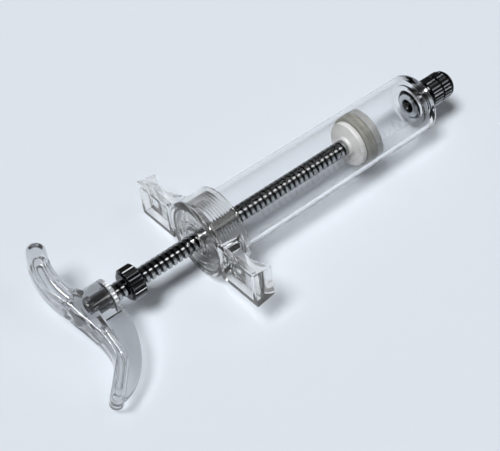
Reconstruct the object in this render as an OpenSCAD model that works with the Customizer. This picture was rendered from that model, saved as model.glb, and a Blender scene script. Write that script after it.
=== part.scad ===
// Adjustable dose syringe lying on its side, clear plastic with chromed metal.
// The axis runs along X, the outlet is at the +X end, and z = 0 is the surface it lies on.
// Lengths along the axis are measured from the rear face of the finger flange.

/* [Barrel] */
// Outside diameter of the clear barrel
barrel_od = 25.5; // [20:0.1:32]
// Thickness of the barrel's side wall
barrel_wall = 1.85; // [1.2:0.05:3]
// Length of the barrel from its seat in the finger flange to its front face
barrel_length = 110.9; // [96:0.1:140]
// Thickness of the barrel's front wall
front_wall = 4.2; // [3.2:0.1:6]
// Radius of the rounded edge at the front of the barrel
front_round = 2.4; // [0.8:0.1:3]
// Pitch of the thread between barrel and finger flange
barrel_pitch = 1.2; // [1:0.1:2]
// Height of the raised scale above the barrel
scale_height = 0.18; // [0.1:0.02:0.4]
// Distance between two neighbouring scale ticks
scale_step = 2.7; // [1.5:0.1:6]
// Turn of the scale about the axis, measured from straight up towards the -Y side
scale_turn = 62; // [0:1:180]

/* [Finger flange] */
// Thickness of the screw collar round the barrel
collar_wall = 3; // [2.4:0.1:5]
// Length of the screw collar
collar_length = 13.5; // [10:0.1:20]
// Thickness of the collar's rear wall
flange_wall = 2.6; // [1.8:0.1:4]
// Thickness of the gasket behind the barrel
gasket_t = 1; // [0.6:0.1:2]
// Distance between the tips of the two finger wings
wing_span = 70; // [58:0.5:90]
// Height of a wing at its rear face
wing_height = 16; // [12:0.2:22]
// Height of a wing at its front face
wing_front_height = 13.4; // [8:0.2:20]
// Length of a wing's tip along the axis
wing_tip = 8.8; // [6:0.1:12]
// Length of a wing along the axis at its waist
wing_waist = 5; // [4.2:0.1:9]
// Wall left round the pocket in a wing's rear face
wing_rim = 2; // [1.2:0.1:3]
// Depth of the pocket in a wing's rear face
wing_pocket = 2.6; // [1:0.1:3.2]
// Turn of the finger wings about the axis
wing_roll = -9; // [-30:1:30]

/* [Rod and dose nut] */
// Diameter over the crests of the threaded rod
rod_d = 6.8; // [5.6:0.1:9]
// Depth of the rod's thread
thread_depth = 0.62; // [0.3:0.02:0.9]
// Pitch of the rod's thread
rod_pitch = 2.4; // [1.5:0.1:4]
// Wall of the bush that guides the rod through the flange
bush_wall = 1.9; // [1.2:0.1:3]
// Distance from the flange's rear face back to the front of the dose nut
nut_gap = 25.4; // [6:0.1:40]
// Outside diameter of the dose nut
nut_od = 12.8; // [11.4:0.1:18]
// Length of the dose nut
nut_length = 6.2; // [4:0.1:10]
// Number of ridges round the dose nut
nut_ridges = 28; // [24:2:60]
// Distance from the dose nut back to the handle's lock ring
nut_to_ring = 4.6; // [3.2:0.1:12]

/* [Handle] */
// Diameter of the handle's hub
hub_d = 14.2; // [11:0.1:18]
// Length of the handle's hub
hub_length = 14.6; // [12:0.1:20]
// Reach of the long curved arm from the axis
long_reach = 34.2; // [26:0.2:40]
// Distance that the long arm's tip lies behind the hub's front face
long_sweep = 19.8; // [12:0.2:28]
// Width of the palm bar along the axis, beside the hub
bar_width = 4.6; // [3.6:0.1:7]
// Reach from the axis at which the palm bar bends back towards the long arm's tip
bend_at = 21; // [16:0.5:26]
// Reach of the short bowed arm from the axis
short_reach = 31; // [24:0.5:36]
// Width of the short arm along the axis
short_width = 7.2; // [5:0.1:10]
// Distance that the short arm's middle bows back from its ends
short_bow = 2.6; // [0.6:0.1:5]
// Thickness of the arms at the hub
arm_thick = 13; // [9:0.2:14]
// Thickness of the arms at their tips
tip_thick = 8.4; // [6:0.2:12]
// Thickness of the web in front of the long arm and between the pockets
arm_web = 3; // [2:0.1:5]
// Width of the rim round the arms' pockets
arm_rim = 1; // [0.8:0.1:1.6]
// Depth of the groove along the long arm, below the hub's thickness
groove_depth = 2.8; // [2:0.1:4]
// Turn of the handle about the axis
handle_roll = 15; // [-15:1:17]
// Outside diameter of the metal insert inside the hub
insert_d = 5.7; // [4.8:0.1:8]
// Length of the metal insert inside the hub
insert_length = 9.2; // [6:0.1:10]
// Wall of the metal insert
insert_wall = 0.95; // [0.7:0.05:1.3]
// Outside diameter of the lock ring at the hub's front
ring_d = 8.8; // [7:0.1:11]
// Length of the lock ring at the hub's front
ring_length = 2.2; // [1.4:0.1:4]

/* [Piston] */
// Distance from the flange's rear face to the rear of the piston
piston_at = 75.1; // [62:0.1:80]
// Gap between the piston's rear plate and the barrel
plate_gap = 1.5; // [0.4:0.1:3]
// Thickness of the piston's rear plate
plate_t = 2.2; // [1.4:0.1:4]
// Length of the sealing ring
seal_length = 4.5; // [4:0.1:8]
// Thickness of the piston's front plate
front_t = 3; // [2.2:0.1:5]
// Diameter of the small collar where the rod meets the piston
washer_d = 7.8; // [7:0.1:10]
// Thickness of that collar
washer_t = 1.4; // [0.8:0.1:3]
// Diameter of the rod's journal inside the piston
journal_d = 4.8; // [3.8:0.1:5.4]
// Diameter of the end screw's shank
screw_d = 2.5; // [2:0.1:2.8]
// Diameter of the end screw's head
screw_head_d = 8.4; // [7:0.1:10]
// Thickness of the O-ring round the journal
o_ring_t = 1.44; // [1:0.02:1.8]

/* [Nozzle] */
// Diameter of the nozzle's head inside the barrel
head_d = 13.2; // [11:0.1:14]
// Diameter of the nozzle's stem
stem_d = 7.8; // [6:0.1:8.4]
// Diameter of the smooth neck nut
neck_d = 11.6; // [11.2:0.1:14]
// Length of the smooth neck nut
neck_length = 3.7; // [2:0.1:9]
// Outside diameter of the knurled lock collar
lock_d = 12.4; // [10.4:0.1:16]
// Length of the knurled lock collar
lock_length = 12.6; // [9:0.1:16]
// Diameter of the lock collar's cavity round the taper
lock_bore = 8; // [7:0.1:8.2]
// Number of ridges round the lock collar
lock_ridges = 24; // [20:2:60]
// Diameter of the nozzle's taper at its end
taper_d = 3.94; // [3.6:0.02:4.2]
// Diameter of the bore that the dose leaves through
outlet_d = 2.4; // [1.6:0.1:2.8]

/* [Fits] */
// Radial gap between parts that slide or turn on each other
run_fit = 0.05; // [0.02:0.01:0.1]
// Gap between parts that are screwed or pressed together
seat_fit = 0.04; // [0.02:0.01:0.1]
// Gap between moving parts that must not touch
free_gap = 0.3; // [0.2:0.05:0.6]

/* [Drawing] */
// Smoothness of the round faces
$fn = 72; // [24:4:120]

/* [Hidden] */
barrel_r = barrel_od / 2;
bore_r = barrel_r - barrel_wall;
barrel_x0 = flange_wall + gasket_t;
barrel_x1 = barrel_x0 + barrel_length;
wall_x = barrel_x1 - front_wall;
collar_r = barrel_r + collar_wall;
thread_r = collar_r - 1.8;
thread_x1 = collar_length - free_gap;
rod_r = rod_d / 2;
root_r = rod_r - thread_depth;
bush_r = rod_r + bush_wall;
nut_x1 = -nut_gap;
nut_x0 = nut_x1 - nut_length;
ring_x1 = nut_x0 - nut_to_ring;
ring_x0 = ring_x1 - ring_length;
insert_x0 = ring_x0 - insert_length;
insert_r = insert_d / 2;
stud_r = insert_r - insert_wall;
hub_r = hub_d / 2;
hub_x1 = ring_x1 - 1;
hub_x0 = hub_x1 - hub_length;
palm_x = hub_x0 + 2;
bar_x = palm_x + bar_width;
tip_x = hub_x1 - long_sweep;
web_front = hub_x1 + 0.8;
tip_inner = inner_edge(long_reach - 0.2);
tip_palm = palm_edge(long_reach - 3.8);
tip_mid = (tip_inner + tip_palm) / 2;
tip_r = norm(tip_inner - tip_palm) / 2;
handle_x0 = tip_mid[0] - tip_r;
bow_u0 = 4;
bow_u1 = short_reach - short_width / 2;
bow_half = (bow_u1 - bow_u0) / 2;
bow_r = (bow_half * bow_half + short_bow * short_bow) / (2 * short_bow);
bow_mid = [hub_x0 - 0.7 + bow_r, (bow_u0 + bow_u1) / 2];
journal_r = journal_d / 2;
screw_r = screw_d / 2;
screw_head_r = screw_head_d / 2;
screw_head_t = 1.4;
plate_r = bore_r - plate_gap;
seal_x = piston_at + plate_t + seat_fit;
front_x = seal_x + seal_length + seat_fit;
piston_x1 = front_x + front_t;
core_r = plate_r - 3.4;
shoulder_x = piston_at - free_gap / 3 - washer_t;
screw_x = piston_x1 - screw_head_t - 0.1;
stem_r = stem_d / 2;
head_r = head_d / 2;
head_seat = wall_x + 1.5;
neck_x1 = barrel_x1 + neck_length;
lock_x0 = neck_x1 + 1;
lock_x1 = lock_x0 + lock_length;
taper_r = taper_d / 2;
axis_z = max(collar_r, wing_height / 2 * cos(wing_roll) + wing_span / 2 * abs(sin(wing_roll)));
x_mid = (handle_x0 + lock_x1) / 2;

// Front edge of the long arm's web, a quarter ellipse, at an angle from the axis
function front_edge(a) = [tip_x + (hub_x1 + 2 - tip_x) * cos(a), -long_reach * sin(a)];

// How far the long arm has bent back at a reach from the axis
function bend(u, start) = let (d = u - start) (d + sqrt(d * d + 5)) / 2;

// Palm edge of the long arm at a reach from the axis
function palm_edge(u) = [palm_x - 0.0085 * pow(max(0, 19 - u), 2) - bend(u, bend_at), -u];

// Inner edge of the palm bar at a reach from the axis
function inner_edge(u) = [bar_x - 0.93 * bend(u, bend_at + 2), -u];

// Direction from the short arm towards the centre of its bow, at a reach from the axis
function bow_side(u) = let (a = asin((u - bow_mid[1]) / bow_r)) [cos(a), -sin(a)];

// Point at a reach on an arc of radius r about the centre of the short arm's bow
function bow_point(r, u) = bow_mid - r * bow_side(u);

// Points along such an arc between two reaches
function bow_line(r, u0, u1) = [for (i = [0 : 10]) bow_point(r, u0 + (u1 - u0) * i / 10)];

// Points of a half round end, turning from one side of an arm to the other
function round_end(mid, r, side) = [for (a = [20 : 20 : 160])
    mid + r * (side * cos(a) + [side[1], -side[0]] * sin(a))];

// A solid of revolution about X from [x, radius] points
module turned(points) {
    rotate([90, 0, 90]) rotate_extrude() polygon([for (p = points) [p[1], p[0]]]);
}

// A ridged ring about X, from x0 to x1
module ridged(x0, x1, r, depth, count) {
    translate([x0, 0, 0]) rotate([90, 0, 90]) linear_extrude(height = x1 - x0)
        polygon([for (i = [0 : 2 * count - 1]) let (a = i * 180 / count, q = r - (i % 2) * depth)
            [q * cos(a), q * sin(a)]]);
}

// A round bar about X, from x0 to x1
module round_bar(x0, x1, r) {
    translate([x0, 0, 0]) rotate([0, 90, 0]) cylinder(h = x1 - x0, r = r);
}

// Moves a piece from the axis to its place on the surface
module place() {
    translate([-x_mid, 0, axis_z]) children();
}

module barrel() {
    crest = thread_r - seat_fit;
    root = crest - 0.5;
    turns = floor((thread_x1 - barrel_x0 - 1) / barrel_pitch);
    color([0.9, 0.94, 0.96, 0.35]) place() turned(concat(
        [[barrel_x0, bore_r], [barrel_x0, root]],
        [for (i = [0 : turns - 1]) let (x = barrel_x0 + 0.7 + i * barrel_pitch)
            each [[x, root], [x + 0.3, crest], [x + 0.55, crest], [x + 0.85, root]]],
        [[thread_x1, root], [thread_x1, barrel_r]],
        [for (a = [0 : 10 : 90])
            [barrel_x1 - front_round * (1 - sin(a)), barrel_r - front_round * (1 - cos(a))]],
        [[barrel_x1, stem_r + seat_fit], [head_seat, stem_r + seat_fit], [head_seat, head_r + free_gap],
        [wall_x - 0.8, head_r + free_gap], [wall_x - 0.8, head_r + 2.3], [wall_x, head_r + 2.3],
        [wall_x, bore_r]]));
}

module scale_marks() {
    first = thread_x1 + 10;
    last = wall_x - 6;
    ticks = floor((last - first) / scale_step);
    line_w = 0.6;
    color([0.85, 0.88, 0.9]) place() rotate([scale_turn, 0, 0]) intersection() {
        difference() {
            round_bar(first - 2, last + 2, barrel_r + scale_height);
            round_bar(first - 3, last + 3, barrel_r);
        }
        union() {
            translate([first, -line_w / 2, 0]) cube([ticks * scale_step + line_w, line_w, barrel_od]);
            for (i = [0 : ticks]) translate([first + i * scale_step, -line_w / 2, 0])
                cube([line_w, i % 5 == 0 ? 5.2 : 3, barrel_od]);
        }
    }
}

module nozzle() {
    back = head_seat - 0.6;
    face = back - 2;
    mouth_r = outlet_d / 2 + 1.7;
    taper_x0 = lock_x0 + 3;
    taper_x1 = lock_x1 - 0.3;
    color([0.78, 0.79, 0.8]) place() turned([
        [back, stem_r], [back, head_r], [back - 0.5, head_r], [back - 1.4, head_r - 1],
        [face, head_r - 2.6], [face, mouth_r], [back + 1.2, outlet_d / 2], [taper_x1, outlet_d / 2],
        [taper_x1, taper_r], [taper_x0, taper_r + 0.03 * (taper_x1 - taper_x0)], [taper_x0, stem_r]]);
}

module neck_nut() {
    r = neck_d / 2;
    color([0.78, 0.79, 0.8]) place() turned([
        [barrel_x1, stem_r + seat_fit], [barrel_x1, r], [neck_x1 - 0.5, r], [neck_x1, r - 0.5],
        [neck_x1, r - 1.2], [lock_x0, r - 1.2], [lock_x0, stem_r + seat_fit]]);
}

module lock_collar() {
    r = lock_d / 2;
    ridge = 0.45;
    body_r = r - ridge - 0.1;
    mid = lock_x0 + lock_length * 0.48;
    color([0.7, 0.71, 0.72]) place() difference() {
        union() {
            turned([[lock_x0, 0], [lock_x0, body_r - 0.3], [lock_x0 + 0.5, body_r],
                [lock_x1 - 0.8, body_r], [lock_x1, body_r - 0.6], [lock_x1, 0]]);
            ridged(lock_x0 + 0.8, mid - 0.5, r, ridge, lock_ridges);
            ridged(mid + 0.5, lock_x1 - 2.4, r, ridge, lock_ridges);
        }
        round_bar(lock_x0 - 1, lock_x0 + 3, stem_r + seat_fit);
        round_bar(lock_x0 + 2.9, lock_x1 + 1, lock_bore / 2);
    }
}

module nozzle_gasket() {
    color([0.25, 0.25, 0.26]) place() turned([
        [head_seat - 0.6, stem_r + seat_fit], [head_seat - 0.6, head_r - 0.2],
        [head_seat, head_r - 0.2], [head_seat, stem_r + seat_fit]]);
}

// Outline of a wing seen from above, narrowest at its waist
module wing_plan() {
    half = wing_span / 2;
    root = collar_r - 1.5;
    waist_y = (root + half) / 2 + 1;
    steps = 12;
    polygon(concat([[0, 0], [0, half]],
        [for (i = [0 : steps]) let (y = half + (root - half) * i / steps,
            d = (y - waist_y) / (half - waist_y))
            [wing_waist + (wing_tip - wing_waist) * d * d, y]],
        [[wing_tip, 0]]));
}

// Outline of a wing seen from its tip, lower at the front
module wing_side() {
    rear = wing_height / 2;
    slope = (rear - wing_front_height / 2) / wing_tip;
    end_x = wing_tip + 4;
    polygon([[0, -rear], [end_x, slope * end_x - rear], [end_x, rear - slope * end_x], [0, rear]]);
}

module finger_wing() {
    half = wing_span / 2;
    pocket_y = collar_r + 1.2;
    difference() {
        intersection() {
            translate([0, 0, -wing_height]) linear_extrude(height = 2 * wing_height) wing_plan();
            rotate([90, 0, 0]) translate([0, 0, -half - 1]) linear_extrude(height = half + 1) wing_side();
        }
        translate([-1, pocket_y, wing_rim - wing_height / 2])
            cube([wing_pocket + 1, half - pocket_y - wing_rim, wing_height - 2 * wing_rim]);
    }
}

module finger_flange() {
    round_r = 1.6;
    groove_r = bush_r + 2.9;
    color([0.9, 0.94, 0.96, 0.35]) place() rotate([wing_roll, 0, 0]) difference() {
        union() {
            turned(concat([[0, 0], [0, collar_r - round_r]],
                [for (a = [15 : 15 : 90]) [round_r * (1 - cos(a)), collar_r - round_r * (1 - sin(a))]],
                [[collar_length - 0.5, collar_r], [collar_length, collar_r - 0.5], [collar_length, 0]]));
            finger_wing();
            mirror([0, 1, 0]) finger_wing();
        }
        round_bar(flange_wall, collar_length + 1, thread_r);
        round_bar(-1, flange_wall + 1, bush_r + seat_fit);
        turned([[-1, groove_r], [-1, groove_r + 1], [0.4, groove_r + 1], [0.4, groove_r]]);
    }
}

module flange_gasket() {
    r0 = thread_r - 1.1;
    r1 = thread_r - seat_fit;
    color([0.92, 0.92, 0.9]) place()
        turned([[flange_wall, r0], [flange_wall, r1], [barrel_x0, r1], [barrel_x0, r0]]);
}

module rod_bush() {
    bore = rod_r + run_fit;
    lip_r = bush_r + 0.6;
    color([0.93, 0.94, 0.94]) place() turned([[0, bore], [0, bush_r - 0.3], [0.3, bush_r],
        [flange_wall, bush_r], [flange_wall, lip_r], [barrel_x0, lip_r], [barrel_x0, bore]]);
}

module rod() {
    start = ring_x1 + 1.2;
    turns = floor((shoulder_x - 1.2 - start) / rod_pitch);
    crest = rod_pitch * 0.42;
    slope = rod_pitch * 0.15;
    color([0.75, 0.76, 0.78]) place() difference() {
        turned(concat(
            [[insert_x0 + 0.6, 0], [insert_x0 + 0.6, stud_r], [ring_x1, stud_r], [ring_x1, rod_r]],
            [for (i = [0 : turns - 1]) let (x = start + i * rod_pitch)
                each [[x, rod_r], [x + slope, root_r], [x + rod_pitch - crest - slope, root_r],
                    [x + rod_pitch - crest, rod_r]]],
            [[shoulder_x, rod_r], [shoulder_x, journal_r], [screw_x, journal_r], [screw_x, 0]]));
        round_bar(screw_x - 7.5, screw_x + 1, screw_r);
    }
}

module dose_nut() {
    r = nut_od / 2;
    ridge = 0.45;
    body_r = r - ridge - 0.1;
    color([0.7, 0.71, 0.72]) place() difference() {
        union() {
            turned([[nut_x0, 0], [nut_x0, body_r - 0.6], [nut_x0 + 0.6, body_r], [nut_x1 - 0.4, body_r],
                [nut_x1, body_r - 0.4], [nut_x1, 0]]);
            ridged(nut_x0 + 0.8, nut_x1 - 0.5, r, ridge, nut_ridges);
        }
        round_bar(nut_x0 - 1, nut_x1 + 1, rod_r + run_fit);
    }
}

// Outline of the palm bar in its own plane: long arm, palm side, short arm
module bar_plan() {
    end_u = long_reach - 0.2;
    palm_u = long_reach - 3.8;
    steps = 20;
    side = (tip_inner - tip_mid) / tip_r;
    polygon(concat(
        [for (i = [0 : steps]) inner_edge(hub_r - 2 + (end_u - hub_r + 2) * i / steps)],
        round_end(tip_mid, tip_r, side),
        [for (i = [steps : -1 : 1]) palm_edge(palm_u * i / steps)],
        bow_line(bow_r + short_width / 2, bow_u0, bow_u1),
        round_end(bow_point(bow_r, bow_u1), short_width / 2, -bow_side(bow_u1)),
        bow_line(bow_r - short_width / 2, bow_u1, hub_r),
        [[bar_x, hub_r - 2]]));
}

// Outline of the thin web between the hub and the long arm
module web_plan() {
    cut = acos((web_front - tip_x) / (hub_x1 + 2 - tip_x));
    polygon(concat([[web_front, 0]],
        [for (i = [0 : 12]) front_edge(cut + (88 - cut) * i / 12)],
        [for (i = [10 : -1 : 0]) inner_edge((long_reach - 2) * i / 10) - [1.5, 0]]));
}

// Pocket along the short arm, rounded at both ends
module short_pocket() {
    w = short_width / 2 - arm_rim;
    u0 = bow_u0 + 2.8;
    u1 = bow_u1 - 5;
    polygon(concat(
        bow_line(bow_r + w, u0, u1), round_end(bow_point(bow_r, u1), w, -bow_side(u1)),
        bow_line(bow_r - w, u1, u0), round_end(bow_point(bow_r, u0), w, bow_side(u0))));
}

// Groove along the long arm's bar, rounded at both ends and running out towards the tip
module long_groove() {
    u0 = hub_r + 4;
    end_u = long_reach - 3;
    palm_u = long_reach - 6.4;
    steps = 14;
    rim = [arm_rim, 0];
    near = [inner_edge(u0) - rim, palm_edge(u0) + rim];
    far = [inner_edge(end_u) - rim, palm_edge(palm_u) + rim];
    far_r = norm(far[0] - far[1]) / 2;
    polygon(concat([for (i = [0 : steps]) inner_edge(u0 + (end_u - u0) * i / steps) - rim],
        round_end((far[0] + far[1]) / 2, far_r, (far[0] - far[1]) / 2 / far_r),
        [for (i = [steps : -1 : 0]) palm_edge(u0 + (palm_u - u0) * i / steps) + rim],
        round_end((near[0] + near[1]) / 2, norm(near[0] - near[1]) / 2, [-1, 0])));
}

module handle() {
    t0 = arm_thick / 2;
    t1 = tip_thick / 2;
    long_end = long_reach + 1;
    color([0.9, 0.94, 0.96, 0.35]) place() rotate([handle_roll, 0, 0]) difference() {
        union() {
            intersection() {
                translate([0, 0, -arm_thick]) linear_extrude(height = 2 * arm_thick) bar_plan();
                translate([handle_x0 - 1, 0, 0]) rotate([90, 0, 90])
                    linear_extrude(height = hub_x1 - handle_x0 + 1)
                    polygon([[-long_end, -t1], [-hub_r, -t0], [hub_r, -t0], [short_reach + 1, -t1],
                        [short_reach + 1, t1], [hub_r, t0], [-hub_r, t0], [-long_end, t1]]);
            }
            translate([0, 0, -arm_web / 2]) linear_extrude(height = arm_web) web_plan();
            round_bar(palm_x + 1.5, hub_x1, hub_r);
        }
        for (s = [0, 1]) mirror([0, 0, s]) {
            translate([0, 0, arm_web / 2]) linear_extrude(height = arm_thick) short_pocket();
            translate([0, 0, t0 - groove_depth]) linear_extrude(height = arm_thick) long_groove();
        }
        round_bar(insert_x0 - seat_fit, ring_x0 + 0.1, insert_r + seat_fit);
        round_bar(ring_x0 - seat_fit, hub_x1 + 2, ring_d / 2 + seat_fit);
    }
}

module handle_insert() {
    knurl_x1 = insert_x0 + 2.8;
    head_x0 = ring_x0 - 1.6;
    ridge = 0.3;
    color([0.78, 0.79, 0.8]) place() difference() {
        union() {
            round_bar(insert_x0, ring_x0, insert_r - ridge - 0.1);
            round_bar(head_x0, ring_x0, insert_r);
            ridged(insert_x0 + 0.2, knurl_x1, insert_r, ridge, 18);
        }
        round_bar(insert_x0 - 1, ring_x0 + 1, stud_r + seat_fit);
    }
}

module handle_ring() {
    color([0.78, 0.79, 0.8]) place() difference() {
        ridged(ring_x0, ring_x1, ring_d / 2, 0.3, 20);
        round_bar(ring_x0 - 1, ring_x1 + 1, stud_r + seat_fit);
    }
}

module rod_washer() {
    r0 = journal_r + seat_fit;
    r1 = washer_d / 2;
    x1 = shoulder_x + washer_t;
    color([0.85, 0.86, 0.86]) place()
        turned([[shoulder_x, r0], [shoulder_x, r1 - 0.3], [shoulder_x + 0.3, r1], [x1, r1], [x1, r0]]);
}

module piston_rear_plate() {
    bore = journal_r + run_fit;
    x1 = piston_at + plate_t;
    color([0.95, 0.95, 0.94]) place() turned([[piston_at, bore], [piston_at, plate_r - 0.4],
        [piston_at + 0.4, plate_r], [x1, plate_r], [x1, bore]]);
}

module piston_seal() {
    lip = bore_r - run_fit;
    valley = bore_r - 0.9;
    bore = core_r + seat_fit;
    x1 = seal_x + seal_length;
    color([0.6, 0.62, 0.56]) place() turned([
        [seal_x, bore], [seal_x, lip - 0.5], [seal_x + 0.5, lip], [seal_x + 1.3, lip],
        [seal_x + 1.8, valley], [x1 - 1.8, valley], [x1 - 1.3, lip], [x1 - 0.5, lip], [x1, lip - 0.5],
        [x1, bore]]);
}

module piston_front_plate() {
    edge_r = bore_r - free_gap;
    groove_x = seal_x + seal_length / 2;
    groove_w = o_ring_t + 0.06;
    color([0.93, 0.94, 0.94]) place() difference() {
        turned([[seal_x - seat_fit, 0], [seal_x - seat_fit, core_r], [front_x, core_r], [front_x, edge_r],
            [piston_x1 - 0.6, edge_r], [piston_x1, edge_r - 0.6], [piston_x1, 0]]);
        round_bar(seal_x - 1, piston_x1 + 1, journal_r + run_fit);
        round_bar(groove_x - groove_w / 2, groove_x + groove_w / 2, journal_r + run_fit + groove_w);
        round_bar(screw_x - free_gap / 3, piston_x1 + 1, screw_head_r + free_gap);
    }
}

module journal_o_ring() {
    r = o_ring_t / 2;
    color([0.15, 0.15, 0.15]) place() translate([seal_x + seal_length / 2, 0, 0]) rotate([90, 0, 90])
        rotate_extrude() translate([journal_r + run_fit + r, 0]) circle(r = r);
}

module end_screw() {
    shank_r = screw_r - seat_fit;
    x1 = screw_x + screw_head_t;
    color([0.75, 0.76, 0.78]) place() turned([[screw_x - 6.5, 0], [screw_x - 6.5, shank_r],
        [screw_x, shank_r], [screw_x, screw_head_r], [x1 - 0.4, screw_head_r], [x1, screw_head_r - 0.4],
        [x1, 0]]);
}

barrel();
scale_marks();
nozzle();
neck_nut();
lock_collar();
nozzle_gasket();
finger_flange();
flange_gasket();
rod_bush();
rod();
dose_nut();
handle();
handle_insert();
handle_ring();
rod_washer();
piston_rear_plate();
piston_seal();
piston_front_plate();
journal_o_ring();
end_screw();
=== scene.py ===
import math

import bmesh
import bpy
from mathutils import Matrix, Vector


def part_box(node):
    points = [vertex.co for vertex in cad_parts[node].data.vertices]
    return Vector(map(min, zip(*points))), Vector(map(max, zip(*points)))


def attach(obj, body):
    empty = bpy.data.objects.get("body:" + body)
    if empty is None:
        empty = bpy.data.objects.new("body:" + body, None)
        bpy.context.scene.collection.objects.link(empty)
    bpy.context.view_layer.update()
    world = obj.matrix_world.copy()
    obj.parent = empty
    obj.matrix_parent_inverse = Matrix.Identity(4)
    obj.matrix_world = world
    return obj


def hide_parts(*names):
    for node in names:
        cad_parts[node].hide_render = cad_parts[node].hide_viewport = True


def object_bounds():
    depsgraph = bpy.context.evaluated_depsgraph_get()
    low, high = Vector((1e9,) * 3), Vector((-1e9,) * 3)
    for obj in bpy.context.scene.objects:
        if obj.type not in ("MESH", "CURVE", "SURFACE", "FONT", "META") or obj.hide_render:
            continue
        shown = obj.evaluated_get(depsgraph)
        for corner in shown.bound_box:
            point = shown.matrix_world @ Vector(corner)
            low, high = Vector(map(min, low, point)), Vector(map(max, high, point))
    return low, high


# the values of each piece are in mm, and places along the axis count from the flange's rear face

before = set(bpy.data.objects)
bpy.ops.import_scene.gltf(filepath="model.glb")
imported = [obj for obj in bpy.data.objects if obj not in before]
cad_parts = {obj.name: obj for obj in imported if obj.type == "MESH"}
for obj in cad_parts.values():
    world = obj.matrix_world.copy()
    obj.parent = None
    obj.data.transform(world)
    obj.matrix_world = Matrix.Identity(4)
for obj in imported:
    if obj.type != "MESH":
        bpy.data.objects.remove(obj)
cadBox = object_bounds()
mm = 0.001
weldGap = 0.002 * mm
axisHeight = sum(corner.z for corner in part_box("rod")) / 2
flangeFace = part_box("finger_flange")[0].x
axisPoint = Vector((flangeFace, 0, axisHeight))
axisLine = Vector((1, 0, 0))
print("frame loaded, axis at", round(axisHeight / mm, 2), "mm")


# shader maths

class Wire:
    def __init__(self, tree, socket):
        self.tree, self.socket = tree, socket

    def maths(self, operation, first, second):
        step = self.tree.nodes.new("ShaderNodeMath")
        step.operation = operation
        for slot, value in zip(step.inputs, (first, second)):
            plug(self.tree, slot, value)
        return Wire(self.tree, step.outputs[0])

    def __add__(self, other): return self.maths("ADD", self, other)
    def __radd__(self, other): return self.maths("ADD", other, self)
    def __rsub__(self, other): return self.maths("SUBTRACT", other, self)
    def __mul__(self, other): return self.maths("MULTIPLY", self, other)
    def __rmul__(self, other): return self.maths("MULTIPLY", other, self)
    def __pow__(self, other): return self.maths("POWER", self, other)


def plug(tree, slot, value):
    if isinstance(value, Wire):
        tree.links.new(value.socket, slot)
    elif slot.type == "RGBA" and len(value) == 3:
        slot.default_value = (*value, 1)
    else:
        slot.default_value = value


class Finish:
    def __init__(self, owner):
        self.owner = bpy.data.materials.new(owner) if isinstance(owner, str) else owner
        self.owner.use_nodes = True
        self.tree = self.owner.node_tree
        self.tree.nodes.clear()
        self.place = self.node("ShaderNodeTexCoord", output="Object")

    def node(self, kind, settings=None, sockets=None, output=0):
        step = self.tree.nodes.new(kind)
        for key, value in (settings or {}).items():
            setattr(step, key, value)
        for key, value in (sockets or {}).items():
            plug(self.tree, step.inputs[key], value)
        return Wire(self.tree, step.outputs[output]) if len(step.outputs) else step

    def noise(self, scale, detail=2, stretch=(1, 1, 1)):
        spread = self.node("ShaderNodeMapping", {}, {"Vector": self.place, "Scale": stretch})
        return self.node("ShaderNodeTexNoise", {}, {"Vector": spread, "Scale": scale, "Detail": detail})

    def span(self, value, low, high, start=0.0, stop=1.0):
        return self.node("ShaderNodeMapRange", {},
                         {"Value": value, "From Min": low, "From Max": high, "To Min": start, "To Max": stop})

    def radius(self):
        centred = self.node("ShaderNodeMapping", {},
                            {"Vector": self.place, "Location": (0, 0, -axisHeight), "Scale": (0, 1, 1)})
        return self.node("ShaderNodeVectorMath", {"operation": "LENGTH"}, {"Vector": centred}, "Value")

    def tint(self, factor, low, high):
        return self.node("ShaderNodeMix", {"data_type": "RGBA"}, {6: low, 7: high, 0: factor}, 2)

    def ramp(self, factor, stops):
        glow = self.node("ShaderNodeValToRGB", {}, {"Fac": factor})
        elements = glow.socket.node.color_ramp.elements
        while len(elements) < len(stops):
            elements.new(0.5)
        for element, (at, colour) in zip(elements, stops):
            element.position, element.color = at, (*colour, 1)
        return glow

    def bump(self, height, strength, distance):
        return self.node("ShaderNodeBump", {}, {"Height": height, "Strength": strength, "Distance": distance})

    def principled(self, **sockets):
        named = {key.replace("_", " "): value for key, value in sockets.items()}
        return self.node("ShaderNodeBsdfPrincipled", {}, named)

    def surface(self, shader):
        self.node("ShaderNodeOutputMaterial", {}, {"Surface": shader})
        return self.owner


# finishes, with their noise scales per metre and bump depths in metres

clearLook = {"flow": 70, "flowStretch": (0.5, 1, 1), "flowDepth": 0.0015,
             "scuff": 900, "scuffStretch": (0.15, 1, 1), "scuffRange": (0.55, 0.8), "scuffRough": 0.05}


def clearPlastic(name, tint, waviness=0.02, haze=0.02, through=1.0, shade=0.56, gloss=0.12, ior=1.5):
    look, finish = clearLook, Finish(name)
    flow = finish.noise(look["flow"], 2, look["flowStretch"])
    scuff = finish.noise(look["scuff"], 4, look["scuffStretch"])
    rough = haze + look["scuffRough"] * finish.span(scuff, *look["scuffRange"])
    glass = finish.principled(
        Base_Color=tint, Roughness=rough, IOR=ior, Transmission_Weight=through,
        Specular_Tint=(gloss, gloss, gloss), Normal=finish.bump(flow, waviness, look["flowDepth"]))
    veil = finish.node("ShaderNodeBsdfTransparent", {}, {"Color": (shade, shade, shade)})
    lamps = finish.node("ShaderNodeLightPath", output="Is Shadow Ray")  # shadows are pale, not black
    return finish.surface(finish.node("ShaderNodeMixShader", {}, {0: lamps, 1: glass, 2: veil}))


# the chrome's bright colour is kept dark, painted shade standing in for dark surroundings in its reflections
chromeLook = {"bright": (0.45, 0.46, 0.47), "paintedShade": (0.02, 0.02, 0.022), "rimShadeFade": 0.5,
              "spots": 420, "spotRange": (0.45, 0.75), "spotRough": 0.1, "valleyRough": 0.08,
              "lines": 2600, "lineStretch": (1, 0.02, 0.02), "lineBump": 0.06, "lineDepth": 0.00005}


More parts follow.
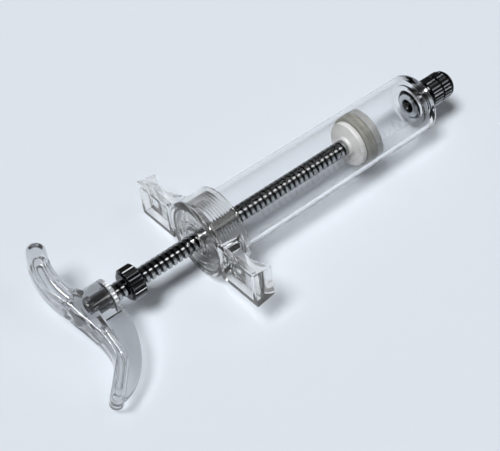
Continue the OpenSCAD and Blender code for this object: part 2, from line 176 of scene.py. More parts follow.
def chrome(name, valley, crest, shine=1.0, satin=0.07, edge=None):
    look, finish = chromeLook, Finish(name)
    spots = finish.noise(look["spots"], 5)
    lines = finish.noise(look["lines"], 2, look["lineStretch"])
    paintedShadeMask = finish.span(finish.radius(), valley * mm, crest * mm)  # painted shade and highlight: dark in the valleys, bright on the crests, by radius
    # painted shade: past the given rim radius the chrome fades to the dark colour, a painted dark rim
    if edge:
        paintedShadeMask = paintedShadeMask * finish.span(finish.radius(), edge * mm, (edge + look["rimShadeFade"]) * mm, 1, 0)
    blotch = finish.span(spots, *look["spotRange"])
    rough = satin + look["spotRough"] * blotch + look["valleyRough"] * (1 - paintedShadeMask)
    bright = tuple(shine * channel for channel in look["bright"])
    return finish.surface(finish.principled(
        Base_Color=finish.tint(paintedShadeMask ** 2, look["paintedShade"], bright), Metallic=1.0, Roughness=rough,
        Normal=finish.bump(lines, look["lineBump"], look["lineDepth"])))


mouldedLook = {"cloud": 160, "cloudRange": (0.3, 0.7), "grain": 2400, "grainRough": 0.12, "grainBump": 0.12,
               "grainDepth": 0.00006, "ior": 1.46}


def mouldedPlastic(name, pale, dark, rough=0.38, clear=0.0):
    look, finish = mouldedLook, Finish(name)
    cloud = finish.noise(look["cloud"], 3)
    grain = finish.noise(look["grain"], 3)
    return finish.surface(finish.principled(
        Base_Color=finish.tint(finish.span(cloud, *look["cloudRange"]), dark, pale),
        Roughness=rough + look["grainRough"] * grain, IOR=look["ior"], Transmission_Weight=clear,
        Normal=finish.bump(grain, look["grainBump"], look["grainDepth"])))


rubberLook = {"cloud": 220, "cloudRange": (0.3, 0.7), "grain": 3200, "rough": 0.45, "grainRough": 0.2,
              "grainBump": 0.2, "grainDepth": 0.00008}


def rubber(name, pale, dark):
    look, finish = rubberLook, Finish(name)
    cloud = finish.noise(look["cloud"], 4)
    grain = finish.noise(look["grain"], 4)
    return finish.surface(finish.principled(
        Base_Color=finish.tint(finish.span(cloud, *look["cloudRange"]), dark, pale),
        Roughness=look["rough"] + look["grainRough"] * grain,
        Normal=finish.bump(grain, look["grainBump"], look["grainDepth"])))


clearFinish = clearPlastic("clearPlastic", (0.95, 0.952, 0.956), shade=0.51)
wingFinish = clearPlastic("wingPlastic", (0.93, 0.927, 0.92), waviness=0.05, through=0.97, shade=0.4, gloss=0.3)
palmFinish = clearPlastic("palmPlastic", (0.7, 0.705, 0.72), waviness=0.16, through=0.97, shade=0.48, gloss=1.0)
reliefFinish = clearPlastic("scaleRelief", (0.97, 0.97, 0.972), haze=0.1, shade=0.95, ior=1.2)
bushFinish = clearPlastic("bushPlastic", (0.96, 0.96, 0.955))
paleGasketFinish = clearPlastic("paleGasket", (0.95, 0.95, 0.94), haze=0.04, through=0.98, shade=0.8)
# copies of one chromed metal; their radii paint shade in the valleys, and their shine makes a part lighter or
# darker, partly painted light and shade
rodFinish = chrome("rodChrome", 2.6, 3.38, shine=0.85)
nutFinish = chrome("nutChrome", 5.8, 6.35)
lockFinish = chrome("lockChrome", 5.7, 6.15)
insertFinish = chrome("insertChrome", 2.0, 2.75, shine=0.7)
neckFinish = chrome("neckChrome", 1.0, 2.0, shine=0.7)
# painted shade: the head's hole inside 2.75 mm radius and its rim past 5 mm are painted dark
nozzleFinish = chrome("nozzleChrome", 2.75, 3.0, shine=1.3, edge=5.0)
ringFinish = chrome("ringChrome", 3.7, 4.15, shine=2.05, satin=0.5)
whiteFinish = mouldedPlastic("whitePlastic", (0.62, 0.62, 0.61), (0.55, 0.55, 0.54))
milkyFinish = mouldedPlastic("milkyPlastic", (0.8, 0.81, 0.8), (0.72, 0.73, 0.72), rough=0.3, clear=0.7)
sealFinish = rubber("sealRubber", (0.22, 0.22, 0.195), (0.18, 0.18, 0.16))
darkGasketFinish = rubber("darkGasket", (0.04, 0.04, 0.045), (0.025, 0.025, 0.03))
print("finishes made")


# mesh helpers

def evenly(start, stop, steps):
    return [start + (stop - start) * i / steps for i in range(steps + 1)]


def onAxis(x, r):
    return axisPoint + Vector((x, 0, r)) * mm


def wirePath(bm, points, closed=True):
    verts = [bm.verts.new(point) for point in points]
    ends = zip(verts, verts[1:] + verts[:1]) if closed else zip(verts, verts[1:])
    return verts, [bm.edges.new(pair) for pair in ends]


def spinProfile(bm, profile, steps=144):
    verts, edges = wirePath(bm, [onAxis(x, r) for x, r in profile])
    bmesh.ops.spin(bm, geom=verts + edges, cent=axisPoint, axis=axisLine, angle=math.tau,
                   steps=steps, use_merge=True)


def bevelEdges(bm, edges, width, segments):
    bmesh.ops.bevel(bm, geom=edges, offset=width * mm, offset_type="OFFSET", affect="EDGES",
                    segments=segments, profile=0.5, material=-1, clamp_overlap=True)


def roundEdges(bm, width, segments=2):
    sharp = [edge for edge in bm.edges
             if len(edge.link_faces) == 2 and edge.calc_face_angle(0) > math.radians(35)]
    bevelEdges(bm, sharp, width, segments)


def splitAt(bm, point, direction, **sides):
    bmesh.ops.bisect_plane(bm, geom=bm.verts[:] + bm.edges[:] + bm.faces[:], plane_co=point,
                           plane_no=direction, **sides)


def tidyMesh(bm):
    bmesh.ops.remove_doubles(bm, verts=bm.verts, dist=weldGap)
    bmesh.ops.dissolve_degenerate(bm, edges=bm.edges, dist=weldGap / 2)
    bmesh.ops.recalc_face_normals(bm, faces=bm.faces)


def prism(outline, low, high):
    bm = bmesh.new()
    wirePath(bm, [axisPoint + Vector((p.x, p.y, low)) * mm for p in outline])
    base = bmesh.ops.contextual_create(bm, geom=bm.edges[:])["faces"]
    raised = bmesh.ops.extrude_face_region(bm, geom=base)["geom"]
    bmesh.ops.translate(bm, verts=[part for part in raised if isinstance(part, bmesh.types.BMVert)],
                        vec=(0, 0, (high - low) * mm))
    tidyMesh(bm)
    return bm


def meshObject(bm, name):
    tidyMesh(bm)
    mesh = bpy.data.meshes.new(name)
    bm.to_mesh(mesh)
    bm.free()
    thing = bpy.data.objects.new(name, mesh)
    bpy.context.scene.collection.objects.link(thing)
    return thing


def cutBy(thing, tool, operation):
    step = thing.modifiers.new("cut", "BOOLEAN")
    step.operation, step.object, step.solver = operation, tool, "EXACT"
    depsgraph = bpy.context.evaluated_depsgraph_get()
    mesh = bpy.data.meshes.new_from_object(thing.evaluated_get(depsgraph))
    thing.modifiers.clear()
    old, thing.data = thing.data, mesh
    bpy.data.meshes.remove(old)
    bpy.data.objects.remove(tool)


def rollMesh(thing, degrees):
    turn = Matrix.Rotation(math.radians(degrees), 4, "X")
    thing.data.transform(Matrix.Translation(axisPoint) @ turn @ Matrix.Translation(-axisPoint))


def finishPiece(thing, body, slotName, finish, *nodes, angle=30):
    thing.data.materials.clear()
    thing.data.materials.append(finish)
    thing.data.shade_smooth()
    thing.data.set_sharp_from_angle(angle=math.radians(angle))
    # flat walls stay flat beside their rounded edges
    even = thing.modifiers.new("evenNormals", "WEIGHTED_NORMAL")
    even.keep_sharp = True
    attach(thing, body)
    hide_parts(*nodes)
    return thing


def turnedPiece(name, profile, edge, body, slotName, finish, *nodes, steps=144, segments=2):
    bm = bmesh.new()
    spinProfile(bm, profile, steps)
    tidyMesh(bm)
    roundEdges(bm, edge, segments)
    return finishPiece(meshObject(bm, name), body, slotName, finish, *nodes)


def ridgedPiece(name, rings, count, body, slotName, finish, *nodes, shoulder=0.7):
    bm = bmesh.new()
    facing = Matrix.Rotation(math.pi / 2, 4, "Y")
    dip = (0, shoulder, 1, shoulder)  # crest, flank, valley, flank
    loops = []
    for x, r, depth in rings:
        centre = onAxis(x, 0)
        circle = bmesh.ops.create_circle(bm, segments=len(dip) * count, radius=r * mm,
                                         matrix=Matrix.Translation(centre) @ facing)["verts"]
        for i, vert in enumerate(circle):
            vert.co -= (vert.co - centre) * (depth / r) * dip[i % len(dip)]
        loops.append(list(dict.fromkeys(edge for vert in circle for edge in vert.link_edges)))
    for one, two in zip(loops, loops[1:] + loops[:1]):
        bmesh.ops.bridge_loops(bm, edges=one + two)
    return finishPiece(meshObject(bm, name), body, slotName, finish, *nodes, angle=25)


# barrel

barrel = {"bore": 10.9, "outer": 12.75, "round": 2.4, "start": 3.6, "stop": 114.5, "threadEnd": 13.2,
          "threadRoot": 13.6, "threadCrest": 13.91, "pitch": 1.2, "turns": 7, "lead": 0.7,
          "tooth": ((0, "threadRoot"), (0.3, "threadCrest"), (0.55, "threadCrest"), (0.85, "threadRoot")),
          "wall": 110.3, "ringFace": 109.5, "ringInner": 6.9, "ringOuter": 8.9, "seat": 111.8, "hole": 3.7,
          "edge": 0.12}


def barrelProfile(b):
    teeth = [(b["start"] + b["lead"] + turn * b["pitch"] + step, b[level])
             for turn in range(b["turns"]) for step, level in b["tooth"]]
    shoulder = [(b["stop"] - b["round"] * (1 - math.sin(a)), b["outer"] - b["round"] * (1 - math.cos(a)))
                for a in evenly(0, math.pi / 2, 10)]
    return [(b["start"], b["bore"]), (b["start"], b["threadRoot"]), *teeth,
            (b["threadEnd"], b["threadRoot"]), (b["threadEnd"], b["outer"]), *shoulder,
            (b["stop"], b["hole"]), (b["seat"], b["hole"]),
            (b["seat"], b["ringInner"]), (b["ringFace"], b["ringInner"]), (b["ringFace"], b["ringOuter"]),
            (b["wall"], b["ringOuter"]), (b["wall"], b["bore"])]


turnedPiece("clearBarrel", barrelProfile(barrel), barrel["edge"],
            "barrel", "clear_plastic", clearFinish, "barrel", steps=192)
print("barrel made")


# rod

rod = {"crest": 3.4, "root": 2.78, "pitch": 2.4, "flat": 0.5, "slope": 0.13, "start": -36.2, "shoulder": 73.6,
       "stud": 1.9, "studEnd": -47.0, "journal": 2.4, "journalEnd": 83.4, "sunk": 0.5, "weld": 0.01,
       "steps": 48}


def threadedRod(r):
    bm = bmesh.new()
    first = r["start"] - r["pitch"]
    flat, slope = r["flat"] * r["pitch"], r["slope"] * r["pitch"]
    marks = [(0, "crest"), (flat, "crest"), (flat + slope, "root"), (r["pitch"] - slope, "root"),
             (r["pitch"], "crest")]
    verts, edges = wirePath(bm, [onAxis(first + x, r[level]) for x, level in marks], closed=False)
    turns = math.ceil((r["shoulder"] - first) / r["pitch"]) + 1
    bmesh.ops.spin(bm, geom=verts + edges, cent=axisPoint, axis=axisLine, angle=math.tau * turns,
                   steps=r["steps"] * turns, dvec=axisLine * (r["pitch"] * mm / r["steps"]))
    bmesh.ops.remove_doubles(bm, verts=bm.verts, dist=r["weld"] * mm)
    for x, inner in ((r["start"], True), (r["shoulder"], False)):
        splitAt(bm, onAxis(x, 0), axisLine, clear_inner=inner, clear_outer=not inner)
        bmesh.ops.holes_fill(bm, edges=[edge for edge in bm.edges if edge.is_boundary])
    ends = ((r["studEnd"], r["start"] + r["sunk"], r["stud"]),
            (r["shoulder"] - r["sunk"], r["journalEnd"], r["journal"]))
    for x0, x1, radius in ends:
        spinProfile(bm, [(x0, 0), (x0, radius), (x1, radius), (x1, 0)], r["steps"])
    return finishPiece(meshObject(bm, "threadedRod"), "rod", "chromed_metal", rodFinish, "rod", angle=25)


threadedRod(rod)
print("rod made")


# dose nut, needle lock and the metal in the handle: each ring is a place, a radius and a ridge depth

nut = {"rear": -31.6, "front": -25.4, "outer": 6.4, "bore": 3.45, "ridge": 0.5, "count": 28,
       "ridgeStart": 0.85, "ridgeStop": 0.55,
       "rearSteps": ((0, 1.2), (0.15, 0.95), (0.7, 0.5)), "frontSteps": ((0.4, 0.5), (0, 0.95))}


def nutRings(n):
    r, x0, x1 = n["outer"], n["rear"], n["front"]
    return [(x0, n["bore"], 0), *[(x0 + x, r - drop, 0) for x, drop in n["rearSteps"]],
            (x0 + n["ridgeStart"], r, n["ridge"]), (x1 - n["ridgeStop"], r, n["ridge"]),
            *[(x1 - x, r - drop, 0) for x, drop in n["frontSteps"]], (x1, n["bore"], 0)]


ridgedPiece("doseNut", nutRings(nut), nut["count"], "dose_nut", "chromed_metal", nutFinish, "dose_nut")

lock = {"rear": 119.2, "front": 131.8, "outer": 6.2, "stem": 3.94, "cavity": 4.0, "floor": 3, "ridge": 0.45,
        "count": 24, "step": 0.1, "rearBand": 0.8, "frontBand": 2.4, "grooveAt": 0.48, "groove": 0.5,
        "rearChamfer": (0.5, 0.3), "frontChamfer": (0.8, 0.6)}


def lockRings(k):
    r, x0, x1, step = k["outer"], k["rear"], k["front"], k["step"]
    body = r - k["ridge"] - step
    mid = x0 + k["grooveAt"] * (x1 - x0)
    bands = []
    for start, stop in ((x0 + k["rearBand"], mid - k["groove"]), (mid + k["groove"], x1 - k["frontBand"])):
        bands += [(start - step, body, 0), (start, r, k["ridge"]),
                  (stop, r, k["ridge"]), (stop + step, body, 0)]
    (rearLong, rearDrop), (frontLong, frontDrop) = k["rearChamfer"], k["frontChamfer"]
    return [(x0, k["stem"], 0), (x0, body - rearDrop, 0), (x0 + rearLong, body, 0), *bands,
            (x1 - frontLong, body, 0), (x1, body - frontDrop, 0), (x1, k["cavity"], 0),
            (x0 + k["floor"], k["cavity"], 0), (x0 + k["floor"], k["stem"], 0)]


ridgedPiece("lockCollar", lockRings(lock), lock["count"],
            "barrel", "chromed_metal", lockFinish, "lock_collar", shoulder=0.4)

insert = {"rear": -47.6, "front": -38.4, "outer": 2.85, "bore": 1.94, "ridge": 0.3, "count": 18,
          "step": 0.1, "knurlStart": 0.2, "knurlStop": 2.8, "head": 1.6}


def insertRings(k):
    r, x0, x1, step = k["outer"], k["rear"], k["front"], k["step"]
    low = r - k["ridge"] - step
    return [(x0, k["bore"], 0), (x0, low, 0), (x0 + k["knurlStart"], r, k["ridge"]),
            (x0 + k["knurlStop"], r, k["ridge"]), (x0 + k["knurlStop"] + step, low, 0),
            (x1 - k["head"] - step, low, 0), (x1 - k["head"], r, 0), (x1, r, 0), (x1, k["bore"], 0)]


ridgedPiece("handleInsert", insertRings(insert), insert["count"],
            "rod", "chromed_metal", insertFinish, "handle_insert", shoulder=0.3)

ring = {"rear": -38.4, "front": -36.2, "outer": 4.4, "bore": 1.94, "ridge": 0.3, "count": 20,
        "rearChamfer": (0.2, 0.35), "frontChamfer": (0.3, 0.4)}


def ringRings(k):
    r, x0, x1 = k["outer"], k["rear"], k["front"]
    (rearLong, rearDrop), (frontLong, frontDrop) = k["rearChamfer"], k["frontChamfer"]
    return [(x0, k["bore"], 0), (x0, r - rearDrop, 0), (x0 + rearLong, r, k["ridge"]),
            (x1 - frontLong, r, k["ridge"]), (x1, r - frontDrop, 0), (x1, k["bore"], 0)]


ridgedPiece("handleRing", ringRings(ring), ring["count"],
            "rod", "chromed_metal", ringFinish, "handle_ring", shoulder=0.3)
print("knurled metal made")


# nozzle and neck

nozzle = {"back": 111.2, "head": 6.6, "face": 2, "mouth": 2.9, "throat": 1.2, "outlet": 1.2, "stem": 3.9,
          "dome": ((0, 0), (0.5, 0), (1.0, 0.4), (1.5, 1.1), (1.85, 2.0), (2, 2.8)),
          "taperStart": 122.2, "taperEnd": 131.5, "taperTip": 1.97, "taper": 0.03, "edge": 0.08}


def nozzleProfile(n):
    b = n["back"]
    taperRoot = n["taperTip"] + n["taper"] * (n["taperEnd"] - n["taperStart"])
    return [(b, n["stem"]), *[(b - x, n["head"] - drop) for x, drop in n["dome"]],
            (b - n["face"], n["mouth"]), (b + n["throat"], n["outlet"]),
            (n["taperEnd"], n["outlet"]), (n["taperEnd"], n["taperTip"]),
            (n["taperStart"], taperRoot), (n["taperStart"], n["stem"])]


turnedPiece("nozzleHead", nozzleProfile(nozzle), nozzle["edge"],
            "barrel", "chromed_metal", nozzleFinish, "nozzle", steps=96)

neck = {"rear": 114.5, "front": 118.2, "seat": 119.2, "outer": 5.8, "groove": 4.6, "bore": 3.94, "edge": 0.3}
turnedPiece("neckNut", [(neck["rear"], neck["bore"]), (neck["rear"], neck["outer"]),
                        (neck["front"], neck["outer"]), (neck["front"], neck["groove"]),
                        (neck["seat"], neck["groove"]), (neck["seat"], neck["bore"])],
            neck["edge"], "barrel", "chromed_metal", neckFinish, "neck_nut", steps=96, segments=3)
print("nozzle made")


# piston

piston = {"rear": 75.1, "plate": 9.4, "plateDepth": 2.2, "plateEdge": 0.35, "bore": 2.45, "core": 6.0,
          "fit": 0.04, "sealStart": 77.34, "sealEnd": 81.84, "sealEdge": 0.2, "lip": 10.85, "valley": 10.0,
          "lipStart": 0.5, "lipStop": 1.3, "lipFoot": 1.8,
          "frontStart": 81.88, "frontEnd": 84.88, "frontEdge": 10.6, "screwSeat": 83.18, "screwRoom": 4.5}


def pistonPieces(p):
    plateEnd = p["rear"] + p["plateDepth"]
    rear = [(p["rear"], p["bore"]), (p["rear"], p["plate"]), (plateEnd, p["plate"]), (plateEnd, p["bore"])]
    turnedPiece("pistonRearPlate", rear, p["plateEdge"],
                "piston", "white_plastic", whiteFinish, "piston_rear_plate", segments=3)

    a, b, inner, brim = p["sealStart"], p["sealEnd"], p["core"] + p["fit"], p["lip"] - p["lipStart"]
    seal = [(a, inner), (a, brim), (a + p["lipStart"], p["lip"]), (a + p["lipStop"], p["lip"]),
            (a + p["lipFoot"], p["valley"]), (b - p["lipFoot"], p["valley"]),
            (b - p["lipStop"], p["lip"]), (b - p["lipStart"], p["lip"]), (b, brim), (b, inner)]
    turnedPiece("pistonSeal", seal, p["sealEdge"],
                "piston", "seal_rubber", sealFinish, "piston_seal", segments=3)

    start = a - p["fit"]
    front = [(start, p["bore"]), (start, p["core"]), (p["frontStart"], p["core"]),
             (p["frontStart"], p["frontEdge"]), (p["frontEnd"], p["frontEdge"]),
             (p["frontEnd"], p["screwRoom"]), (p["screwSeat"], p["screwRoom"]), (p["screwSeat"], p["bore"])]
    turnedPiece("pistonFrontPlate", front, p["plateEdge"],
                "piston", "milky_plastic", milkyFinish, "piston_front_plate", segments=3)


pistonPieces(piston)
print("piston made")


# finger flange

flange = {"outer": 15.75, "length": 13.5, "wall": 2.6, "thread": 13.95, "round": 1.6, "bush": 5.34,
          "groove": 8.2, "grooveWide": 1, "grooveDeep": 0.4, "grooveSlope": 0.1,
          "span": 70, "tip": 8.8, "waist": 5, "waistShift": 1, "rearHigh": 16, "frontHigh": 13.4,
          "curveSunk": 1.5, "rootSunk": 0.9, "corner": 2.2, "edge": 0.5, "edgeFrom": 1.2,
          "rim": 2, "pocket": 2.6, "pocketFrom": 1.2, "pocketEdge": 0.4, "pocketOpen": 2, "roll": -9}


def flangeCollar(f):
    bm = bmesh.new()
    corner = [(f["round"] * (1 - math.cos(a)), f["outer"] - f["round"] * (1 - math.sin(a)))
              for a in evenly(0, math.pi / 2, 8)]
    inner, outer = f["groove"], f["groove"] + f["grooveWide"]
    groove = [(0, inner), (f["grooveDeep"], inner + f["grooveSlope"]),
              (f["grooveDeep"], outer - f["grooveSlope"]), (0, outer)]
    spinProfile(bm, [(0, f["bush"]), *groove, *corner, (f["length"], f["outer"]), (f["length"], f["thread"]),
                     (f["wall"], f["thread"]), (f["wall"], f["bush"])], 192)
    return meshObject(bm, "fingerFlange")


def wingBlank(f, side):
    half, high, root = f["span"] / 2, f["rearHigh"] / 2, f["thread"] + f["rootSunk"]
    curveRoot = f["outer"] - f["curveSunk"]
    waistAt = (curveRoot + half) / 2 + f["waistShift"]
    front = [(f["waist"] + (f["tip"] - f["waist"]) * ((y - waistAt) / (half - waistAt)) ** 2, y)
             for y in evenly(half, curveRoot, 16)]
    outline = [(0, half), *front, (f["tip"], root), (0, root)]
    bm = prism([Vector((x, side * y)) for x, y in outline], -high, high)
    slope = (f["rearHigh"] - f["frontHigh"]) / 2 / f["tip"]
    for vert in bm.verts:
        lower = slope * (vert.co.x - axisPoint.x)
        vert.co.z += lower if vert.co.z < axisHeight else -lower
    near = 0.1
    farOut, farFront = (half - near) * mm, axisPoint.x + (f["tip"] - near) * mm
    corner = [edge for edge in bm.edges
              if all(abs(v.co.y) > farOut and v.co.x > farFront for v in edge.verts)]
    bevelEdges(bm, corner, f["corner"], 6)
    outside = [edge for edge in bm.edges if edge.calc_face_angle(0) > math.radians(30)
               and min(abs(v.co.y) for v in edge.verts) > (f["thread"] + f["edgeFrom"]) * mm]
    bevelEdges(bm, outside, f["edge"], 3)
    return meshObject(bm, "wingBlank")


def wingPocket(f, side):
    bm = bmesh.new()
    start = f["outer"] + f["pocketFrom"]
    stop = f["span"] / 2 - f["rim"]
    size = Vector((f["pocket"] + f["pocketOpen"], stop - start, f["rearHigh"] - 2 * f["rim"])) * mm
    centre = axisPoint + Vector(((f["pocket"] - f["pocketOpen"]) / 2, side * (start + stop) / 2, 0)) * mm
    bmesh.ops.create_cube(bm, size=1, matrix=Matrix.Translation(centre) @ Matrix.Diagonal((*size, 1)))
    roundEdges(bm, f["pocketEdge"], 3)
    return meshObject(bm, "wingPocket")


def fingerFlange(f):
    thing = flangeCollar(f)
    for side in (1, -1):
        cutBy(thing, wingBlank(f, side), "UNION")
    for side in (1, -1):
        cutBy(thing, wingPocket(f, side), "DIFFERENCE")
    rollMesh(thing, f["roll"])
    return finishPiece(thing, "barrel", "clear_plastic", wingFinish, "finger_flange")


fingerFlange(flange)
print("finger flange made")


# handle: the long arm lies on the -Y side, the short bowed arm on the +Y side

handle = {"hubRear": -51.8, "hubFront": -37.2, "hub": 7.1, "hubSunk": 1.5, "hubEdge": 0.8, "root": 2,
          "palm": -49.8, "bar": -45.2, "reach": 34.2, "tipX": -57.0, "shoulder": 2,
          "bend": 21, "bendSoft": 5, "lean": 0.93, "innerLag": 2, "innerEnd": 0.2, "palmEnd": 3.8,
          "swell": 0.0085, "swellReach": 19,
          "shortReach": 31, "shortWidth": 7.2, "bow": 2.6, "bowStart": 4, "bowSunk": 0.7,
          "thick": 13, "tipThick": 8.4, "tipPast": 1, "edge": 2.2, "rim": 1.0, "roll": 15,
          "web": 3, "webFront": 0.8, "webEnd": 88, "webSunk": 1.5, "webEdge": 0.7,
          "pocketStart": 2.8, "pocketEnd": 5, "pocketHollow": 2.4,
          "groove": 2.8, "grooveStart": 4, "grooveInnerEnd": 3, "groovePalmEnd": 6.4, "grooveHollow": 1.5}


class HandlePlan:
    def __init__(self, h):
        self.h = h
        self.bowStop = h["shortReach"] - h["shortWidth"] / 2
        half = (self.bowStop - h["bowStart"]) / 2
        self.bowRadius = (half * half + h["bow"] ** 2) / (2 * h["bow"])
        self.bowCentre = Vector((h["hubRear"] - h["bowSunk"] + self.bowRadius,
                                 (h["bowStart"] + self.bowStop) / 2))
        self.webLong = h["hubFront"] + h["shoulder"] - h["tipX"]

    def frontEdge(self, degrees):
        h, a = self.h, math.radians(degrees)
        return Vector((h["tipX"] + self.webLong * math.cos(a), -h["reach"] * math.sin(a)))

    def bent(self, reach, start):
        d = reach - start
        return (d + math.sqrt(d * d + self.h["bendSoft"])) / 2

    def palmEdge(self, reach):
        h = self.h
        swell = h["swell"] * max(0, h["swellReach"] - reach) ** 2
        return Vector((h["palm"] - swell - self.bent(reach, h["bend"]), -reach))

    def innerEdge(self, reach):
        h = self.h
        return Vector((h["bar"] - h["lean"] * self.bent(reach, h["bend"] + h["innerLag"]), -reach))

    def bowSide(self, reach):
        a = math.asin((reach - self.bowCentre.y) / self.bowRadius)
        return Vector((math.cos(a), -math.sin(a)))

    def bowPoint(self, offset, reach):
        return self.bowCentre - (self.bowRadius + offset) * self.bowSide(reach)

    def bowLine(self, offset, start, stop):
        return [self.bowPoint(offset, reach) for reach in evenly(start, stop, 16)]

    def roundEnd(self, centre, radius, side):
        across = Vector((side.y, -side.x))
        return [centre + radius * (side * math.cos(a) + across * math.sin(a))
                for a in evenly(0, math.pi, 9)[1:-1]]

    def barOutline(self):
        h = self.h
        start = h["hub"] - h["root"]
        innerStop, palmStop = h["reach"] - h["innerEnd"], h["reach"] - h["palmEnd"]
        tipCentre = (self.innerEdge(innerStop) + self.palmEdge(palmStop)) / 2
        tipArm = self.innerEdge(innerStop) - tipCentre
        wide = h["shortWidth"] / 2
        return [*[self.innerEdge(reach) for reach in evenly(start, innerStop, 28)],
                *self.roundEnd(tipCentre, tipArm.length, tipArm.normalized()),
                *[self.palmEdge(reach) for reach in evenly(palmStop, 0, 28)[:-1]],
                *self.bowLine(wide, h["bowStart"], self.bowStop),
                *self.roundEnd(self.bowPoint(0, self.bowStop), wide, -self.bowSide(self.bowStop)),
                *self.bowLine(-wide, self.bowStop, h["hub"]),
                Vector((h["bar"], start))]

    def webOutline(self):
        h = self.h
        front = h["hubFront"] + h["webFront"]
        root = h["hub"] - h["root"]
        webStart = math.degrees(math.acos((front - h["tipX"]) / self.webLong))
        sunk = Vector((h["webSunk"], 0))
        return [Vector((front, -root)),
                *[self.frontEdge(degrees) for degrees in evenly(webStart, h["webEnd"], 24)],
                *[self.innerEdge(reach) - sunk for reach in evenly(h["reach"] - h["root"], root, 16)]]

    def shortPocket(self):
        h = self.h
        wide = h["shortWidth"] / 2 - h["rim"]
        start, stop = h["bowStart"] + h["pocketStart"], self.bowStop - h["pocketEnd"]
        return [*self.bowLine(wide, start, stop),
                *self.roundEnd(self.bowPoint(0, stop), wide, -self.bowSide(stop)),
                *self.bowLine(-wide, stop, start),
                *self.roundEnd(self.bowPoint(0, start), wide, self.bowSide(start))]

    def longGroove(self):
        h = self.h
        rim = Vector((h["rim"], 0))
        start = h["hub"] + h["grooveStart"]
        inner = [self.innerEdge(reach) - rim for reach in evenly(start, h["reach"] - h["grooveInnerEnd"], 20)]
        palm = [self.palmEdge(reach) + rim for reach in evenly(h["reach"] - h["groovePalmEnd"], start, 20)]
        ends = []
        for a, b in ((inner[-1], palm[0]), (palm[-1], inner[0])):
            ends.append(self.roundEnd((a + b) / 2, (a - b).length / 2, (a - b).normalized()))
        return [*inner, *ends[0], *palm, *ends[1]]


def roundRims(bm, width, segments, *levels):
    levelGap, heightGap = 2 * mm, 3
    rims = [edge for edge in bm.edges if edge.calc_face_angle(0) > math.radians(60)
            and abs(edge.verts[0].co.z - edge.verts[1].co.z) < levelGap
            and any(abs((edge.verts[0].co.z - axisHeight) / mm - level) < heightGap for level in levels)]
    bevelEdges(bm, rims, width, segments)


def palmHandle(h):
    plan = HandlePlan(h)
    thick, web = h["thick"] / 2, h["web"] / 2
    bar = prism(plan.barOutline(), -thick, thick)
    for y in (-h["hub"], h["hub"]):
        splitAt(bar, axisPoint + Vector((0, y, 0)) * mm, (0, 1, 0))
    for vert in bar.verts:  # the arms get thinner towards their tips
        y = vert.co.y / mm
        reach = (h["reach"] if y < 0 else h["shortReach"]) + h["tipPast"]
        share = max(0, (abs(y) - h["hub"]) / (reach - h["hub"]))
        vert.co.z = axisHeight + (vert.co.z - axisHeight) * (1 + share * (h["tipThick"] / h["thick"] - 1))
    roundRims(bar, h["edge"], 8, thick, -thick)
    thing = meshObject(bar, "palmHandle")

    sheet = prism(plan.webOutline(), -web, web)
    roundRims(sheet, h["webEdge"], 3, web, -web)
    cutBy(thing, meshObject(sheet, "web"), "UNION")

    hub = bmesh.new()
    rear, front = h["palm"] + h["hubSunk"], h["hubFront"]
    spinProfile(hub, [(rear, 0), (rear, h["hub"]), (front, h["hub"]), (front, 0)], 96)
    tidyMesh(hub)
    roundEdges(hub, h["hubEdge"], 4)
    cutBy(thing, meshObject(hub, "hub"), "UNION")

    hollows = ((plan.shortPocket(), web, h["pocketHollow"]),
               (plan.longGroove(), thick - h["groove"], h["grooveHollow"]))
    for outline, floor, hollow in hollows:  # on both faces, open well past the handle
        for low, high, bottom in ((floor, h["thick"], floor), (-h["thick"], -floor, -floor)):
            pocket = prism(outline, low, high)
            roundRims(pocket, hollow, 6, bottom)
            cutBy(thing, meshObject(pocket, "pocket"), "DIFFERENCE")
    rollMesh(thing, h["roll"])
    return finishPiece(thing, "rod", "clear_plastic", palmFinish, "handle")


palmHandle(handle)
print("handle made")


# pieces that keep the CAD's shape

carried = {"scale_marks": reliefFinish, "flange_gasket": paleGasketFinish, "nozzle_gasket": darkGasketFinish,
           "rod_bush": bushFinish, "rod_washer": whiteFinish, "journal_o_ring": darkGasketFinish,
           "end_screw": neckFinish}
for nodeName, finish in carried.items():
    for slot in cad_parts[nodeName].material_slots:
        slot.material = finish
print("carried nodes finished")


# floor, light and camera

studio = {"floor": {"colour": (0.716, 0.767, 0.831), "mottle": 0.99, "cloud": 6, "rough": 0.85,
                    "size": 3, "drop": 0.05},
          "key": {"towards": (-0.4, -0.04, 0.9), "angle": 20, "strength": 2.95},
          "strip": {"towards": (0.42, -0.4, 0.815), "angle": 22, "strength": 0.26},
          "room": {"cool": (0.95, 0.98, 1), "levels": [(0.0, 0.5), (0.53, 0.5), (0.6, 0.3), (0.7, 0.12),
                                                       (0.85, 0.04), (1.0, 0.04)]}}


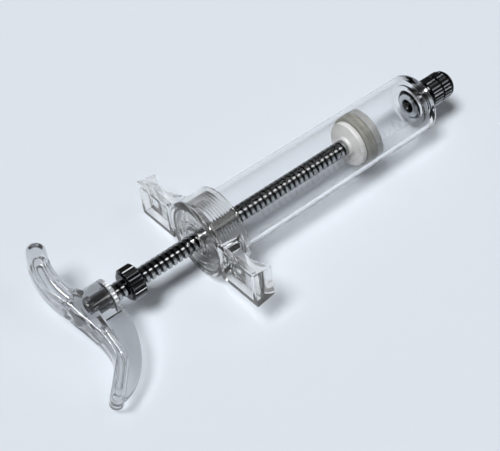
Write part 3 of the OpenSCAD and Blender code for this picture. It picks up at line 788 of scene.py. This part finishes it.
def paleFloor(f):
    bm = bmesh.new()
    bmesh.ops.create_grid(bm, x_segments=1, y_segments=1, size=f["size"],
                          matrix=Matrix.Translation((0, 0, cadBox[0].z - f["drop"] * mm)))
    floor = meshObject(bm, "paleFloor")
    finish = Finish("paleFloor")
    darker = tuple(f["mottle"] * channel for channel in f["colour"])
    floor.data.materials.append(finish.surface(finish.principled(
        Base_Color=finish.tint(finish.noise(f["cloud"]), darker, f["colour"]), Roughness=f["rough"])))


def softLamp(name, towards, angle, strength):
    lamp = bpy.data.lights.new(name, "SUN")
    lamp.angle, lamp.energy = math.radians(angle), strength
    thing = bpy.data.objects.new(name, lamp)
    thing.rotation_mode = "QUATERNION"
    thing.rotation_quaternion = (-Vector(towards)).to_track_quat("-Z", "Y")
    bpy.context.scene.collection.objects.link(thing)


def room(r):
    walls = Finish(bpy.data.worlds.new("room"))
    bpy.context.scene.world = walls.owner
    way = walls.node("ShaderNodeTexCoord", output="Generated")
    height = walls.node("ShaderNodeSeparateXYZ", {}, {"Vector": way}, "Z") * 0.5 + 0.5
    stops = [(at, tuple(level * channel for channel in r["cool"])) for at, level in r["levels"]]
    glow = walls.ramp(height, stops)
    backdrop = walls.node("ShaderNodeBackground", {}, {"Color": glow})
    walls.node("ShaderNodeOutputWorld", {}, {"Surface": backdrop})


paleFloor(studio["floor"])
softLamp("keyLamp", **studio["key"])
softLamp("stripLamp", **studio["strip"])
room(studio["room"])

shot = {"place": (-138.3, -199.9, 303.3), "back": (-0.4204, -0.4993, 0.7576), "sensor": 36, "lens": 76.58,
        "shift": (-0.0158, -0.0476), "clip": (0.01, 20)}


def photoCamera(s):
    data = bpy.data.cameras.new("photoCamera")
    data.sensor_width, data.lens = s["sensor"], s["lens"]
    data.shift_x, data.shift_y = s["shift"]
    data.clip_start, data.clip_end = s["clip"]
    camera = bpy.data.objects.new("photoCamera", data)
    camera.location = axisPoint + Vector(s["place"]) * mm
    camera.rotation_mode = "QUATERNION"
    camera.rotation_quaternion = (-Vector(s["back"])).to_track_quat("-Z", "Y")
    bpy.context.scene.collection.objects.link(camera)
    bpy.context.scene.camera = camera


photoCamera(shot)
bpy.context.scene.view_settings.view_transform = "Standard"
print("studio and camera set")
